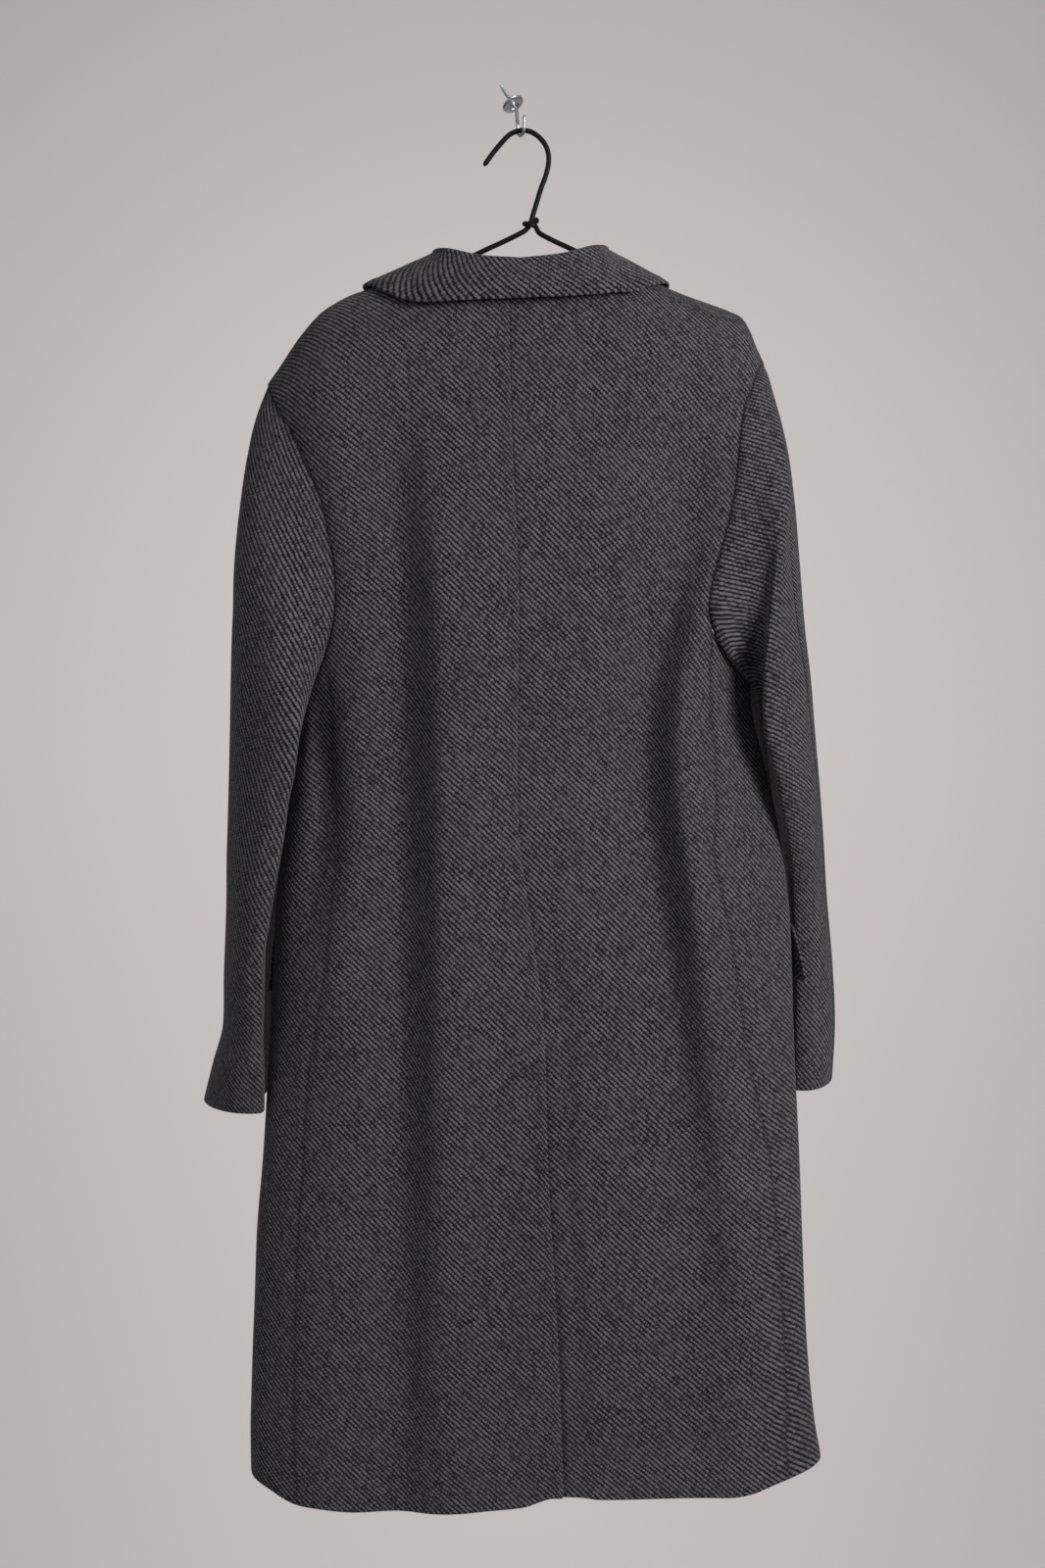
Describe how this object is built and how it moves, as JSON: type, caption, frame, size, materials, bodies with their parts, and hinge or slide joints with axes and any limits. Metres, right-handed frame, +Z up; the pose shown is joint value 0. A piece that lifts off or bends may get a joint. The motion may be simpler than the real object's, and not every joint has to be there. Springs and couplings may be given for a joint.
{
  "type": "overcoat on wire hanger and screw hook",
  "caption": "Long single-breasted wool overcoat with notched collar, flap pockets and centre-back vent, hanging on a wire coat hanger from a screw hook in a sloping ceiling.",
  "frame": {"origin": "middle of the back face of the hook's flange, where it bears on the ceiling", "axes": "+Z up along the coat, -Y out of the coat's back toward a viewer behind it, +X to that viewer's right, which is the wearer's right"},
  "size_m": [0.5945, 0.24, 1.2883],
  "materials": {
    "wool_twill": "matte wide diagonal wool twill, charcoal with paler grains",
    "button_horn": "satin, dark horn-like resin",
    "coated_wire": "black plastic coating, satin",
    "zinc_plate": "bright zinc plate"
  },
  "bodies": {
    "root": {"back_left": "wool_twill", "back_right": "wool_twill", "side_left": "wool_twill", "side_right": "wool_twill", "front_left": "wool_twill", "front_right": "wool_twill", "sleeve_back_left": "wool_twill", "sleeve_back_right": "wool_twill", "sleeve_front_left": "wool_twill", "sleeve_front_right": "wool_twill", "lapel_left": "wool_twill", "lapel_right": "wool_twill", "flap_left": "wool_twill", "flap_right": "wool_twill", "collar": "wool_twill", "button_1": "button_horn", "button_2": "button_horn", "button_3": "button_horn", "hanger_wire": "coated_wire", "hook_wire": "zinc_plate", "hook_flange": "zinc_plate"}
  },
  "joints": []
}
